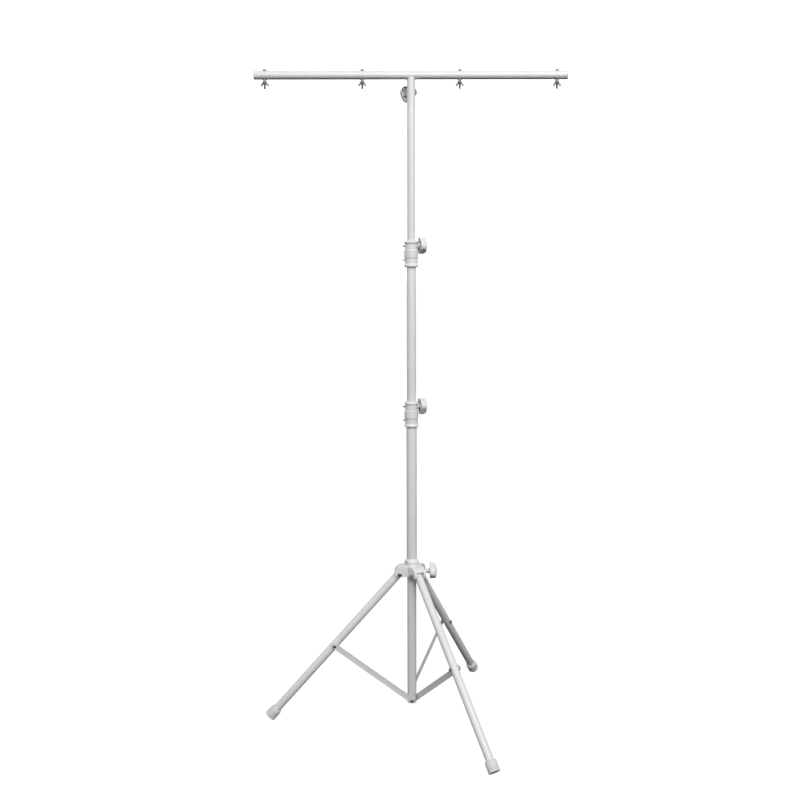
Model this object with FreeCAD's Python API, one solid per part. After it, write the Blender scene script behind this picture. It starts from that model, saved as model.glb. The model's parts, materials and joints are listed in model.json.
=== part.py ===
import FreeCAD, Part
import math
import os
from FreeCAD import Placement, Rotation, Vector

# Telescopic tripod lighting stand with a T-bar. Millimetres, +Z up.
# The origin is on the mast axis at floor level. The T-bar lies along X and leg 1 points to -X.

# ---- mast tubes: outer diameter and wall -------------------------------------------------
tube_wall = 1.5
main_diameter = 41.0
mid_diameter = 36.0
top_diameter = 31.5
strut_diameter = 37.0
running_gap = 0.05          # radial play of a sliding or turning fit
face_gap = 0.3              # play between faces that pass each other

# ---- legs and hub -------------------------------------------------------------------------
leg_azimuths = (180.0, 300.0, 60.0)
leg_diameter = 32.0
leg_angle = 41.5            # lean of an open leg from the vertical
leg_length = 810.0          # hinge axis to the end face of the foot
leg_top_overhang = 10.0     # leg above its hinge axis
foot_diameter = 46.0
foot_length = 46.0
foot_sole = 6.0
sole_facet = 1.2            # depth cut flat where the foot meets the floor
foot_rim_chamfer = 1.2
foot_sole_chamfer = 0.5
hinge_radius = 49.0
hinge_bolt_diameter = 10.0
hub_core_radius = 27.0
hub_depth = 52.0
hub_below_hinge = 11.3
hub_lip = 2.5               # casting below the bush
arm_width = 53.0
arm_depth = 44.0
arm_reach = 69.5
arm_slot = 33.0
arm_wall = 4.3
arm_top_round = 31.0
slot_top_round = 23.0
arm_foot_round = 11.0
door_above_hinge = 15.0     # top of the opening that the leg comes out of
hub_bush_length = 34.0
ring_radius = 29.5
ring_height = 19.0
ring_chamfer_height = 10.0
ring_chamfer_width = 7.0
ring_screw_radius = 2.5
ring_screw_proud = 1.5
ring_screw_azimuth = 222.0

# ---- braces -------------------------------------------------------------------------------
brace_on_leg = 402.0        # hinge axis to the strap pivot, along the leg
strut_bottom = 71.0
strut_pivot_height = 85.0
strut_top = 908.0
strut_plug_above_pivot = 25.0
strap_width = 24.0
strap_thickness = 3.0
strap_inset = strut_diameter / 2 + face_gap
brace_bolt_diameter = 8.0

# ---- clamp collars ------------------------------------------------------------------------
collar_height = 103.0
collar_lip_radius = 28.3
collar_body_radius = 25.0
collar_seat = 50.0          # bush above the end of the outer tube, down from the collar's top
collar_cap = 4.0
lower_collar_bottom = 1220.0
upper_collar_bottom = 1852.0
knob_below_lip = 20.0
band_top = 39.0             # raised band, down from the collar's top
band_bottom = 67.0
band_rise = 2.0
lip_slope = 2.5             # bevel under the lower lip
lip_cone = 5.0              # height of the conical top
lip_mouth = 2.5             # width of the flat round the inner tube
lug_radius = 28.4
lug_width = 22.0
screw_depths = (22.0, 76.0)
screw_diameter = 5.0
screw_reach = 35.0

# ---- clamp knobs --------------------------------------------------------------------------
knob_tip_radius = 19.5
knob_tip_offset = 15.0
knob_head = 28.0
knob_shell = 3.5
knob_roof = 5.6
knob_side = (34.6, 5.0)     # radius and height where the side starts to draw in
knob_middle = (33.0, 15.5)
knob_shoulder = (28.0, 23.4)
knob_crown = (14.5, 26.8)
knob_stem_diameter = 17.0
knob_stud_depth = 12.0      # stud held inside the knob, from the open side of the head
clamp_boss_radius = 10.0
stud_diameter = 8.0
collar_knob_azimuth = 12.0
collar_boss_reach = 29.0
collar_knob_start = 33.0
upper_knob_twist = 30.0     # turn of a knob's lobes about its own stud
lower_knob_twist = 12.0
hub_boss_reach = 50.0
hub_knob_start = 73.5
hub_knob_twist = 30.0
hub_knob_above_hinge = 7.1

# ---- telescoping --------------------------------------------------------------------------
mid_bottom = 1190.0
top_bottom = 1812.0
guide_flange = 8.0
guide_plug = 20.0
guide_wall = 3.0

# ---- T-bar --------------------------------------------------------------------------------
bar_height = 2579.0
bar_length = 1200.0
bar_diameter = 32.0
bar_wall = 2.0
bar_cap = 3.0
bar_cap_round = 2.0
bar_cap_plug = 15.0
bar_bolts = 4
bar_bolt_spacing = 372.0
bar_bolt_diameter = 8.0
bar_bolt_end = 51.0         # bar axis to the free end of a bolt
stub_bottom = 2462.0
spigot_bore_radius = 11.0
spigot_depth = 40.0
spigot_top = 2552.0
bar_knob_drop = 64.0        # bar axis to the T-bar knob
bar_knob_azimuth = 102.0
bar_knob_twist = 9.0
bar_boss_radius = 9.0
bar_boss_root = 10.0
bar_boss_reach = 24.0
bar_knob_start = 38.0
wing_nut_height = 18.0
wing_nut_boss = 10.0
wing_nut_top_radius = 7.5
wing_nut_waist_radius = 5.6
wing_thickness = 3.0
wing_span = 34.0
wing_tip = 5.0              # width of a wing at its lower end
wing_tip_rise = 4.0
wing_root_inner = 4.5
wing_root_outer = 6.5

# ---- fastener sizes: across flats and height ----------------------------------------------
m8_flats = 13.0
m8_head = 5.5
m8_nut = 6.5
m8_washer_radius = 8.0
m8_washer = 1.6
m10_flats = 16.0
m10_head = 6.4
m10_nut = 8.0

# ---- worked out ---------------------------------------------------------------------------
UP = Vector(0, 0, 1)
SIDE = Vector(0, 1, 0)
lean = math.radians(leg_angle)
leg_direction = Vector(math.sin(lean), 0, -math.cos(lean))
hinge_height = leg_length * math.cos(lean) + foot_diameter / 2 * math.sin(lean) - sole_facet
hinge_point = Vector(hinge_radius, 0, hinge_height)
leg_pivot = hinge_point + leg_direction * brace_on_leg
strut_pivot = Vector(0, 0, strut_pivot_height)
hub_bottom = hinge_height - hub_below_hinge
hub_top = hub_bottom + hub_depth
arm_top = hub_bottom + arm_depth
hub_bush_bottom = hub_bottom + hub_lip
main_bottom = hub_bush_bottom + hub_bush_length
lower_collar_top = lower_collar_bottom + collar_height
upper_collar_top = upper_collar_bottom + collar_height
main_top = lower_collar_top - collar_seat
mid_top = upper_collar_top - collar_seat
hub_knob_height = hinge_height + hub_knob_above_hinge
bar_knob_height = bar_height - bar_knob_drop


def cylinder(radius, start, end):
    """Round bar between two points."""
    axis = end - start
    return Part.makeCylinder(radius, axis.Length, start, axis)


def tube(outer, inner, start, end):
    """Round tube between two points."""
    axis = end - start
    reach = axis.normalize() * 1.0
    return cylinder(outer, start, end).cut(cylinder(inner, start - reach, end + reach))


def upright(outer, inner, bottom, top):
    """Tube on the mast axis."""
    return tube(outer, inner, Vector(0, 0, bottom), Vector(0, 0, top))


def hexagon(flats, start, end):
    """Hexagonal prism between two points."""
    axis = end - start
    corner = flats / math.sqrt(3)
    rim = [Vector(corner, 0, 0)]
    for turn in range(1, 7):
        angle = math.radians(60 * turn)
        rim.append(Vector(corner * math.cos(angle), corner * math.sin(angle), 0))
    prism = Part.Face(Part.makePolygon(rim)).extrude(Vector(0, 0, axis.Length))
    prism.Placement = Placement(start, Rotation(UP, axis))
    return prism


def turned(shape, azimuth):
    """Copy of a shape turned about the mast axis."""
    copy = shape.copy()
    copy.rotate(Vector(0, 0, 0), UP, azimuth)
    return copy


def radial(shape, azimuth, height):
    """Stand a shape made along +Z on a horizontal radius of the mast."""
    copy = shape.copy()
    copy.Placement = Placement(Vector(0, 0, height), Rotation(UP, Vector(1, 0, 0)))
    return turned(copy, azimuth)


def revolved(outline):
    """Turn an outline of (radius, height) corners about the mast axis."""
    corners = [Vector(radius, 0, height) for radius, height in outline]
    corners.append(corners[0])
    return Part.Face(Part.makePolygon(corners)).revolve(Vector(0, 0, 0), UP, 360)


def bolt_and_nut(diameter, flats, head, nut, head_face, nut_face):
    """Hex bolt whose head sits on head_face, and a nut on nut_face, as two solids."""
    axis = (nut_face - head_face).normalize()
    shank_end = nut_face + axis * (nut + 1.0)
    bolt = hexagon(flats, head_face - axis * head, head_face)
    bolt = bolt.fuse(cylinder(diameter / 2, head_face, shank_end)).removeSplitter()
    nut_body = hexagon(flats, nut_face, nut_face + axis * nut)
    return bolt, nut_body.cut(cylinder(diameter / 2, head_face, shank_end))


# ---- clamp knobs --------------------------------------------------------------------------

def rounded_triangle(tip_radius, tip_offset, bottom, top):
    """Prism with three rounded lobes about the Z axis."""
    edges = []
    for lobe in range(3):
        middle = math.radians(120 * lobe)
        centre = Vector(tip_offset * math.cos(middle), tip_offset * math.sin(middle), 0)
        points = []
        for swing in (-60, 0, 60):
            angle = middle + math.radians(swing)
            points.append(centre + Vector(math.cos(angle), math.sin(angle), 0) * tip_radius)
        edges.append(Part.Arc(*points).toShape())
    sides = []
    for lobe in range(3):
        start = edges[lobe].Vertexes[-1].Point
        end = edges[(lobe + 1) % 3].Vertexes[0].Point
        sides.append(edges[lobe])
        sides.append(Part.makeLine(start, end))
    prism = Part.Face(Part.Wire(sides)).extrude(Vector(0, 0, top - bottom))
    prism.translate(Vector(0, 0, bottom))
    return prism


def knob_dome(base):
    """Turned form that a knob's head is drawn in to, standing on z = base."""
    side = Vector(knob_side[0], 0, base + knob_side[1])
    shoulder = Vector(knob_shoulder[0], 0, base + knob_shoulder[1])
    peak = Vector(0, 0, base + knob_head)
    foot = Vector(knob_side[0], 0, base)
    middle = Vector(knob_middle[0], 0, base + knob_middle[1])
    crown = Vector(knob_crown[0], 0, base + knob_crown[1])
    outline = Part.Wire([
        Part.makeLine(Vector(0, 0, base), foot),
        Part.makeLine(foot, side),
        Part.Arc(side, middle, shoulder).toShape(),
        Part.Arc(shoulder, crown, peak).toShape(),
        Part.makeLine(peak, Vector(0, 0, base))])
    return Part.Face(outline).revolve(Vector(0, 0, 0), UP, 360)


def knob(stem_start, head_start):
    """Hollow three-lobed clamp knob on a stem, along +Z."""
    head_end = head_start + knob_head
    body = rounded_triangle(knob_tip_radius, knob_tip_offset, head_start, head_end + 1)
    body = body.common(knob_dome(head_start))
    inside = rounded_triangle(knob_tip_radius - knob_shell, knob_tip_offset, head_start - 1, head_end)
    body = body.cut(inside.common(knob_dome(head_start - knob_roof)))
    stem = cylinder(knob_stem_diameter / 2, Vector(0, 0, stem_start), Vector(0, 0, head_end - knob_shell))
    stud_end = Vector(0, 0, head_start + knob_stud_depth)
    bore = cylinder(stud_diameter / 2, Vector(0, 0, stem_start - 1), stud_end)
    return body.fuse(stem).cut(bore).removeSplitter()


def stud(tip, head_start):
    """Clamp stud held in the knob, along +Z from its tip."""
    return cylinder(stud_diameter / 2, Vector(0, 0, tip), Vector(0, 0, head_start + knob_stud_depth))


def stud_hole(azimuth, height, reach):
    """Clearance hole for a clamp stud, from the mast axis outwards."""
    hole = cylinder(stud_diameter / 2 + running_gap, Vector(0, 0, 0), Vector(0, 0, reach))
    return radial(hole, azimuth, height)


# ---- hub ----------------------------------------------------------------------------------

def hub_arm():
    """One closed-top hinge arm on azimuth 0, with the slot that the leg folds in."""
    block = Part.makeBox(arm_reach, arm_width, arm_depth, Vector(0, -arm_width / 2, hub_bottom))
    upper_edge = [edge for edge in block.Edges
                  if edge.BoundBox.XMin > arm_reach - 0.1 and edge.BoundBox.ZMin > arm_top - 0.1]
    block = block.makeFillet(arm_top_round, upper_edge)
    lower_edge = [edge for edge in block.Edges
                  if edge.BoundBox.XMin > arm_reach - 0.1 and edge.BoundBox.ZMax < hub_bottom + 0.1]
    block = block.makeFillet(arm_foot_round, lower_edge)
    slot_start = hub_core_radius + 1
    slot = Part.makeBox(arm_reach - arm_wall - slot_start, arm_slot, arm_depth,
                        Vector(slot_start, -arm_slot / 2, hub_bottom - arm_wall))
    slot_edge = [edge for edge in slot.Edges
                 if edge.BoundBox.XMin > arm_reach - arm_wall - 0.1
                 and edge.BoundBox.ZMin > arm_top - arm_wall - 0.1]
    slot = slot.makeFillet(slot_top_round, slot_edge)
    doorway = Part.makeBox(arm_reach, arm_slot, arm_depth,
                           Vector(hinge_radius, -arm_slot / 2, hinge_height + door_above_hinge - arm_depth))
    bolt_hole = cylinder(hinge_bolt_diameter / 2, hinge_point - SIDE * arm_width,
                         hinge_point + SIDE * arm_width)
    return block, slot.fuse(doorway).fuse(bolt_hole)


def hub_casting():
    """Cast hub: core, three hinge arms and the boss of the strut clamp."""
    body = upright(hub_core_radius, 1.0, hub_bottom, hub_top)
    block, hollow = hub_arm()
    for azimuth in leg_azimuths:
        body = body.fuse(turned(block, azimuth))
    for azimuth in leg_azimuths:
        body = body.cut(turned(hollow, azimuth))
    boss = cylinder(clamp_boss_radius, Vector(0, 0, 0), Vector(0, 0, hub_boss_reach))
    body = body.fuse(radial(boss, 0, hub_knob_height))
    body = body.cut(upright(main_diameter / 2, 0.5, hub_bush_bottom, hub_top + 1))
    strut_way = cylinder(strut_diameter / 2 + face_gap, Vector(0, 0, hub_bottom - 1), Vector(0, 0, hub_top))
    body = body.cut(strut_way)
    body = body.cut(stud_hole(0, hub_knob_height, hub_boss_reach + 1))
    return body.removeSplitter()


def hub_bush():
    """Nylon bush that guides the centre strut in the hub."""
    body = upright(main_diameter / 2, strut_diameter / 2 + running_gap, hub_bush_bottom, main_bottom)
    return body.cut(stud_hole(0, hub_knob_height, main_diameter))


def hub_ring():
    """Clamp ring on the main tube, on top of the hub."""
    bore = main_diameter / 2
    top = hub_top + ring_height
    ring = revolved([(bore, hub_top), (ring_radius, hub_top), (ring_radius, top - ring_chamfer_height),
                     (ring_radius - ring_chamfer_width, top), (bore, top)])
    return ring.cut(ring_screw())


def ring_screw():
    """Set screw of the clamp ring."""
    end = ring_radius + ring_screw_proud
    body = cylinder(ring_screw_radius, Vector(0, 0, main_diameter / 2), Vector(0, 0, end))
    return radial(body, ring_screw_azimuth, hub_top + ring_height / 2)


def leg_hinge_bolts():
    """Three hinge bolts and three nuts, in two lists."""
    start = hinge_point + SIDE * (arm_width / 2)
    end = hinge_point - SIDE * (arm_width / 2)
    bolt, nut = bolt_and_nut(hinge_bolt_diameter, m10_flats, m10_head, m10_nut, start, end)
    bolts = [turned(bolt, azimuth) for azimuth in leg_azimuths]
    nuts = [turned(nut, azimuth) for azimuth in leg_azimuths]
    return bolts, nuts


# ---- legs and braces ----------------------------------------------------------------------

def leg_tube():
    """Leg tube on azimuth 0, drilled for the hinge bolt and the strap bolt."""
    start = hinge_point - leg_direction * leg_top_overhang
    end = hinge_point + leg_direction * (leg_length - foot_sole)
    body = tube(leg_diameter / 2, leg_diameter / 2 - tube_wall, start, end)
    hinge_hole = cylinder(hinge_bolt_diameter / 2 + running_gap,
                          hinge_point - SIDE * leg_diameter, hinge_point + SIDE * leg_diameter)
    strap_hole = cylinder(brace_bolt_diameter / 2, leg_pivot - SIDE * leg_diameter,
                          leg_pivot + SIDE * leg_diameter)
    return body.cut(hinge_hole).cut(strap_hole)


def foot_cap():
    """Foot cap on azimuth 0, square to the leg, with its lowest edge flat on the floor."""
    end = hinge_point + leg_direction * leg_length
    start = end - leg_direction * foot_length
    body = cylinder(foot_diameter / 2, start, end)
    for corner, size in ((start, foot_rim_chamfer), (end, foot_sole_chamfer)):
        rim = [edge for edge in body.Edges if (edge.BoundBox.Center - corner).Length < 1.0]
        body = body.makeChamfer(size, rim)
    body = body.cut(cylinder(leg_diameter / 2, start - leg_direction, end - leg_direction * foot_sole))
    size = 4 * foot_diameter
    under_floor = Part.makeBox(size, size, size, Vector(end.x - size / 2, -size / 2, -size))
    return body.cut(under_floor)


def brace_spacer():
    """Spacer between a leg and its strap, hollowed to sit on the leg."""
    start = leg_pivot
    end = leg_pivot + SIDE * (strap_inset - face_gap)
    body = tube(m8_washer_radius, brace_bolt_diameter / 2, start, end)
    leg_run = leg_direction * leg_diameter
    return body.cut(cylinder(leg_diameter / 2, leg_pivot - leg_run, leg_pivot + leg_run))


def brace_leg_bolt():
    """Bolt through a leg and its strap, with its nut."""
    start = leg_pivot + SIDE * (strap_inset + strap_thickness + face_gap)
    end = leg_pivot - SIDE * (leg_diameter / 2)
    bolt, nut = bolt_and_nut(brace_bolt_diameter, m8_flats, m8_head, m8_nut, start, end)
    return Part.makeCompound([bolt, nut])


def brace_strap():
    """Flat strap from the leg down to the foot of the centre strut."""
    along = strut_pivot - leg_pivot
    length = along.Length
    blade = Part.makeBox(length, strap_width, strap_thickness, Vector(0, -strap_width / 2, 0))
    for place in (0, length):
        blade = blade.fuse(Part.makeCylinder(strap_width / 2, strap_thickness, Vector(place, 0, 0)))
    hole = Part.makeCylinder(brace_bolt_diameter / 2 + running_gap, strap_thickness * 3,
                             Vector(0, 0, -strap_thickness))
    far_hole = Part.makeCylinder(brace_bolt_diameter / 2, strap_thickness * 3,
                                 Vector(length, 0, -strap_thickness))
    blade = blade.removeSplitter().cut(hole).cut(far_hole)
    frame = Rotation(along, SIDE.cross(along), SIDE, "XZY")
    blade.Placement = Placement(leg_pivot + SIDE * strap_inset, frame)
    return blade


def brace_strut_bolt():
    """Shouldered bolt at the lower end of a strap."""
    start = strut_pivot + SIDE * strap_inset
    outer = strut_pivot + SIDE * (strap_inset + strap_thickness)
    head = hexagon(m8_flats, outer, outer + SIDE * m8_head)
    return cylinder(brace_bolt_diameter / 2, start, outer).fuse(head).removeSplitter()


# ---- centre strut and guides ---------------------------------------------------------------

def guide(plug_radius, slide_radius, tube_end, inwards):
    """End guide: a plug inside a tube and a flange that runs in the next tube."""
    flange_end = tube_end - inwards * guide_flange
    plug_end = tube_end + inwards * guide_plug
    bore = plug_radius - guide_wall
    flange = upright(slide_radius, bore, min(flange_end, tube_end), max(flange_end, tube_end))
    plug = upright(plug_radius, bore, min(tube_end, plug_end), max(tube_end, plug_end))
    return flange.fuse(plug).removeSplitter()


def strut_end_plug():
    """Plug that closes the foot of the centre strut."""
    radius = strut_diameter / 2 - tube_wall
    top = strut_pivot_height + strut_plug_above_pivot
    return cylinder(radius, Vector(0, 0, strut_bottom), Vector(0, 0, top))


# ---- clamp collars ------------------------------------------------------------------------

def collar_screw(outer_radius, height, reach):
    """One set screw on azimuth 180."""
    body = cylinder(screw_diameter / 2, Vector(0, 0, outer_radius), Vector(0, 0, reach))
    return radial(body, 180, height)


def collar_body(bottom, outer_radius, inner_radius):
    """Waisted clamp collar on the end of an outer tube, with a knob boss and a screw lug."""
    top = bottom + collar_height
    waist = collar_body_radius
    band = waist + band_rise
    lip = collar_lip_radius
    body = revolved([
        (1.0, bottom), (lip - lip_slope, bottom), (lip, bottom + 3), (lip, bottom + 8), (waist, bottom + 13),
        (waist, top - band_bottom - 2), (band, top - band_bottom), (band, top - band_top),
        (waist, top - band_top + 2), (waist, top - 13), (lip, top - 9), (lip, top - lip_cone),
        (inner_radius + lip_mouth, top), (1.0, top)])
    lug = Part.makeBox(lug_radius, lug_width, band_bottom - band_top,
                       Vector(-lug_radius - 1, -lug_width / 2, top - band_bottom))
    lug = lug.common(cylinder(lug_radius, Vector(0, 0, bottom), Vector(0, 0, top)))
    boss = cylinder(clamp_boss_radius, Vector(0, 0, inner_radius / 2), Vector(0, 0, collar_boss_reach))
    boss = radial(boss, collar_knob_azimuth, top - knob_below_lip)
    body = body.fuse(lug).fuse(boss)
    body = body.cut(cylinder(outer_radius, Vector(0, 0, bottom - 1), Vector(0, 0, top - collar_cap)))
    body = body.cut(cylinder(inner_radius + face_gap, Vector(0, 0, bottom), Vector(0, 0, top + 1)))
    body = body.cut(stud_hole(collar_knob_azimuth, top - knob_below_lip, collar_boss_reach + 1))
    for depth in screw_depths:
        body = body.cut(collar_screw(1.0, top - depth, screw_reach))
    return body.removeSplitter()


def collar_bush(top, outer_radius, inner_radius):
    """Nylon bush that the inner tube slides in."""
    body = upright(outer_radius, inner_radius + running_gap, top - collar_seat, top - collar_cap)
    return body.cut(stud_hole(collar_knob_azimuth, top - knob_below_lip, outer_radius + 1))


def collar_screw_set(top, outer_radius):
    """Both set screws of a collar."""
    upper, lower = screw_depths
    return [collar_screw(outer_radius, top - upper, screw_reach),
            collar_screw(outer_radius, top - lower, screw_reach - 1.5)]


# ---- T-bar --------------------------------------------------------------------------------

def bar_bolt_places():
    """X positions of the lamp bolts."""
    first = -bar_bolt_spacing * (bar_bolts - 1) / 2
    return [first + bar_bolt_spacing * index for index in range(bar_bolts)]


def bar_axis_cylinder(radius, reach):
    """Cylinder along the bar axis."""
    return cylinder(radius, Vector(-reach, 0, bar_height), Vector(reach, 0, bar_height))


def bar_tube():
    """Horizontal tube with a drilled hole for each lamp bolt."""
    reach = bar_length / 2 - bar_cap
    body = bar_axis_cylinder(bar_diameter / 2, reach)
    body = body.cut(bar_axis_cylinder(bar_diameter / 2 - bar_wall, reach + 1))
    for x in bar_bolt_places():
        body = body.cut(cylinder(bar_bolt_diameter / 2, Vector(x, 0, bar_height - bar_diameter),
                                 Vector(x, 0, bar_height + bar_diameter)))
    return body


def bar_end_caps():
    """Push-in cap at each end of the bar."""
    caps = []
    for side in (-1, 1):
        shoulder = side * (bar_length / 2 - bar_cap)
        end = side * bar_length / 2
        disc = cylinder(bar_diameter / 2, Vector(shoulder, 0, bar_height), Vector(end, 0, bar_height))
        outer = [edge for edge in disc.Edges if abs(edge.BoundBox.Center.x) > bar_length / 2 - 0.1]
        disc = disc.makeFillet(bar_cap_round, outer)
        plug = cylinder(bar_diameter / 2 - bar_wall, Vector(shoulder, 0, bar_height),
                        Vector(shoulder - side * bar_cap_plug, 0, bar_height))
        caps.append(disc.fuse(plug).removeSplitter())
    return caps


def bar_stub():
    """Socket tube welded under the bar, coped to it, with the hole of the clamp stud."""
    body = upright(top_diameter / 2, top_diameter / 2 - tube_wall, stub_bottom, bar_height)
    body = body.cut(bar_axis_cylinder(bar_diameter / 2, bar_length))
    return body.cut(stud_hole(bar_knob_azimuth, bar_knob_height, top_diameter))


def bar_boss():
    """Weld nut of the T-bar clamp."""
    body = tube(bar_boss_radius, stud_diameter / 2 + running_gap, Vector(0, 0, bar_boss_root),
                Vector(0, 0, bar_boss_reach))
    body = radial(body, bar_knob_azimuth, bar_knob_height)
    return body.cut(upright(top_diameter / 2, 1.0, stub_bottom, bar_height))


def bar_bolt(x):
    """Lamp bolt down through the bar."""
    seat = bar_height + bar_diameter / 2 + m8_washer
    body = hexagon(m8_flats, Vector(x, 0, seat), Vector(x, 0, seat + m8_head))
    return body.fuse(cylinder(bar_bolt_diameter / 2, Vector(x, 0, bar_height - bar_bolt_end),
                              Vector(x, 0, seat))).removeSplitter()


def bar_washer(x, bottom):
    """Plain washer on a lamp bolt, flat side up."""
    top = bottom + m8_washer
    return tube(m8_washer_radius, bar_bolt_diameter / 2, Vector(x, 0, bottom), Vector(x, 0, top))


def bar_nut(x):
    """Fixed nut under the bar."""
    top = bar_height - bar_diameter / 2 - m8_washer
    body = hexagon(m8_flats, Vector(x, 0, top - m8_nut), Vector(x, 0, top))
    return body.cut(cylinder(bar_bolt_diameter / 2, Vector(x, 0, top - m8_nut - 1), Vector(x, 0, top + 1)))


def wing_nut(x):
    """Wing nut below the fixed nut, wings downwards and outwards."""
    top = bar_height - bar_diameter / 2 - m8_washer - m8_nut - face_gap
    bottom = top - wing_nut_height
    body = Part.makeCone(wing_nut_waist_radius, wing_nut_top_radius, wing_nut_boss,
                         Vector(x, 0, top - wing_nut_boss))
    face = -wing_thickness / 2
    reach = wing_span / 2
    for side in (-1, 1):
        outline = [Vector(x + side * wing_root_inner, face, top - wing_nut_boss + 1),
                   Vector(x + side * wing_root_outer, face, top - 2),
                   Vector(x + side * reach, face, bottom + wing_tip_rise),
                   Vector(x + side * (reach - wing_tip), face, bottom)]
        outline.append(outline[0])
        wing = Part.Face(Part.makePolygon(outline)).extrude(SIDE * wing_thickness)
        body = body.fuse(wing)
    bore = cylinder(bar_bolt_diameter / 2 + running_gap, Vector(x, 0, bottom - 1), Vector(x, 0, top + 1))
    return body.cut(bore).removeSplitter()


def spigot():
    """Tubular spigot in the top tube, on which the T-bar turns."""
    bore = top_diameter / 2 - tube_wall
    body = upright(bore, spigot_bore_radius, stub_bottom - spigot_depth, stub_bottom - face_gap)
    return body.fuse(upright(bore - running_gap, spigot_bore_radius, stub_bottom - face_gap,
                             spigot_top)).removeSplitter()


# ---- assembly -----------------------------------------------------------------------------

def save(name, shapes):
    """Write one named part as a STEP file."""
    if isinstance(shapes, list):
        shapes = Part.makeCompound(shapes)
    shapes.exportStep("parts/" + name + ".step")


def save_knob(name, azimuth, height, surface, stem_start, head_start, twist):
    """Write a clamp knob and its stud, whose tip stops just short of the clamped surface."""
    head = knob(stem_start, head_start)
    head.rotate(Vector(0, 0, 0), UP, twist)
    save(name + "_knob", radial(head, azimuth, height))
    save(name + "_stud", radial(stud(surface + 2 * running_gap, head_start), azimuth, height))


def save_base():
    """Main tube, hub and their fixed fittings."""
    radius = main_diameter / 2
    save("main_tube", upright(radius, radius - tube_wall, main_bottom, main_top))
    save("hub_casting", hub_casting())
    save("hub_strut_bush", hub_bush())
    save("hub_top_ring", hub_ring())
    save("hub_ring_screw", ring_screw())
    bolts, nuts = leg_hinge_bolts()
    save("leg_hinge_bolts", bolts)
    save("leg_hinge_nuts", nuts)
    save_knob("hub", 0, hub_knob_height, strut_diameter / 2, hub_boss_reach + 4, hub_knob_start,
              hub_knob_twist)


def save_collar(name, bottom, outer_diameter, inner_diameter, twist):
    """One clamp collar with its bush, screws, knob and stud."""
    top = bottom + collar_height
    save(name + "_collar_body", collar_body(bottom, outer_diameter / 2, inner_diameter / 2))
    save(name + "_collar_bush", collar_bush(top, outer_diameter / 2, inner_diameter / 2))
    save(name + "_collar_screws", collar_screw_set(top, outer_diameter / 2))
    save_knob(name + "_collar", collar_knob_azimuth, top - knob_below_lip, inner_diameter / 2,
              collar_boss_reach + 1, collar_knob_start, twist)


def save_strut():
    """Centre strut with its end fittings."""
    radius = strut_diameter / 2
    save("centre_strut", upright(radius, radius - tube_wall, strut_bottom, strut_top))
    save("strut_end_plug", strut_end_plug())
    slide_radius = main_diameter / 2 - tube_wall - running_gap
    save("strut_top_guide", guide(radius - tube_wall, slide_radius, strut_top, -1))


def save_legs():
    """Three legs with their feet, spacers, bolts and straps."""
    for number, azimuth in enumerate(leg_azimuths, start=1):
        save("leg_tube_%d" % number, turned(leg_tube(), azimuth))
        save("foot_cap_%d" % number, turned(foot_cap(), azimuth))
        save("brace_spacer_%d" % number, turned(brace_spacer(), azimuth))
        save("brace_leg_bolt_%d" % number, turned(brace_leg_bolt(), azimuth))
        save("brace_strap_%d" % number, turned(brace_strap(), azimuth))
        save("brace_strut_bolt_%d" % number, turned(brace_strut_bolt(), azimuth))


def save_upper_mast():
    """Middle and top sections."""
    radius = mid_diameter / 2
    save("mid_tube", upright(radius, radius - tube_wall, mid_bottom, mid_top))
    save("mid_guide", guide(radius - tube_wall, main_diameter / 2 - tube_wall - running_gap, mid_bottom, 1))
    radius = top_diameter / 2
    save("top_tube", upright(radius, radius - tube_wall, top_bottom, stub_bottom - face_gap))
    save("top_guide", guide(radius - tube_wall, mid_diameter / 2 - tube_wall - running_gap, top_bottom, 1))
    save("top_spigot", spigot())


def save_t_bar():
    """T-bar with its bolts, nuts and wing nuts."""
    places = bar_bolt_places()
    above = bar_height + bar_diameter / 2
    below = bar_height - bar_diameter / 2 - m8_washer
    save("t_bar_tube", bar_tube())
    save("t_bar_end_caps", bar_end_caps())
    save("t_bar_stub", bar_stub())
    save("t_bar_boss", bar_boss())
    save("t_bar_bolts", [bar_bolt(x) for x in places])
    save("t_bar_washers", [bar_washer(x, z) for x in places for z in (below, above)])
    save("t_bar_nuts", [bar_nut(x) for x in places])
    save_knob("t_bar", bar_knob_azimuth, bar_knob_height, top_diameter / 2 - tube_wall - running_gap,
              bar_boss_reach + 1, bar_knob_start, bar_knob_twist)
    for number, x in enumerate(places, start=1):
        save("wing_nut_%d" % number, wing_nut(x))


os.makedirs("parts", exist_ok=True)
save_base()
save_collar("lower", lower_collar_bottom, main_diameter, mid_diameter, lower_knob_twist)
save_collar("upper", upper_collar_bottom, mid_diameter, top_diameter, upper_knob_twist)
save_strut()
save_legs()
save_upper_mast()
save_t_bar()
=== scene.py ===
import json
import math

import bmesh
import bpy
import numpy as np
from mathutils import Matrix, Vector


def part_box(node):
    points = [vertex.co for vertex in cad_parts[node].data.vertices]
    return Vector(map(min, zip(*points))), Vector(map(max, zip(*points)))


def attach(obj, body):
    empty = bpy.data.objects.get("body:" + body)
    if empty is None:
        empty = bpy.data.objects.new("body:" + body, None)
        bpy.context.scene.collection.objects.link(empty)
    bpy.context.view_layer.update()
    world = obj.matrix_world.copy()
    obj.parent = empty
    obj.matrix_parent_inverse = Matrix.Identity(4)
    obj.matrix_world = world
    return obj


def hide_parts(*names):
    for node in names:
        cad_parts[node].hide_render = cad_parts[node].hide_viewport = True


# The visual model of a telescopic lighting stand with a T-bar. Metres, in the frame of the CAD model:
# origin on the mast axis at floor level, +Z up, the T-bar along X.

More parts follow.
